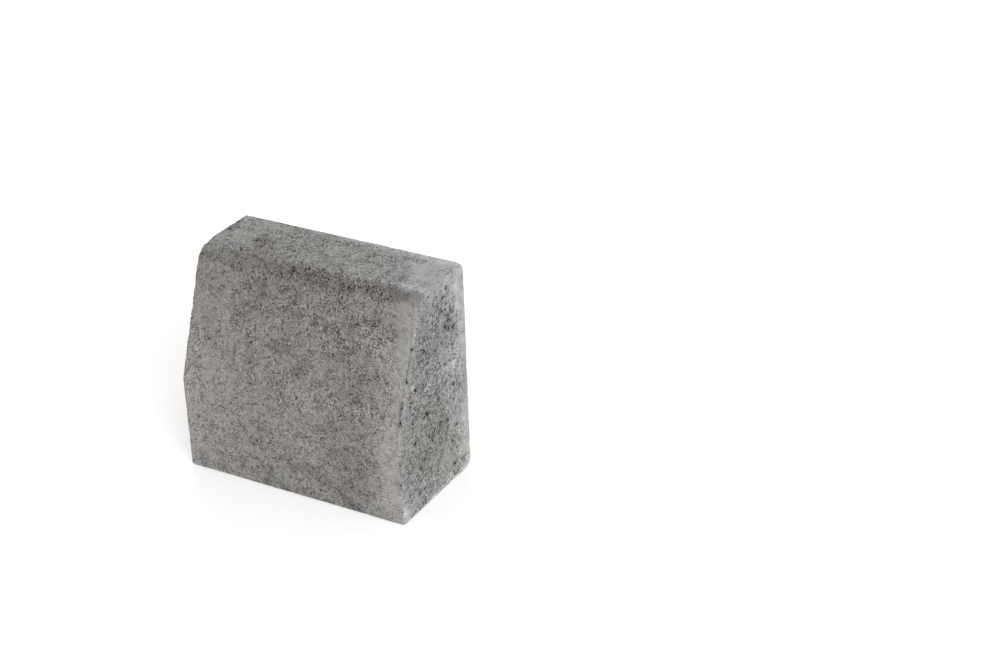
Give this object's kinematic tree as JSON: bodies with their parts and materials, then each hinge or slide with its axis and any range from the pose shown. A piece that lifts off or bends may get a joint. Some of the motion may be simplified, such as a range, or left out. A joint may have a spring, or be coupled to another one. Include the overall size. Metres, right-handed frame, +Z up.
{
  "type": "concrete kerb stone",
  "caption": "Short precast concrete kerb stone with a plumb lower face, a battered upper face and a rounded nose, to edge a road or driveway.",
  "frame": {"origin": "middle of the base, on the surface that the stone stands on", "axes": "+X along the kerb line, +Y away from the road towards the plain rear face, +Z up; the battered face looks to -Y"},
  "size_m": [0.28, 0.142, 0.25],
  "materials": {
    "concrete": "matte"
  },
  "bodies": {
    "root": {"kerb_stone": "concrete"}
  },
  "joints": []
}
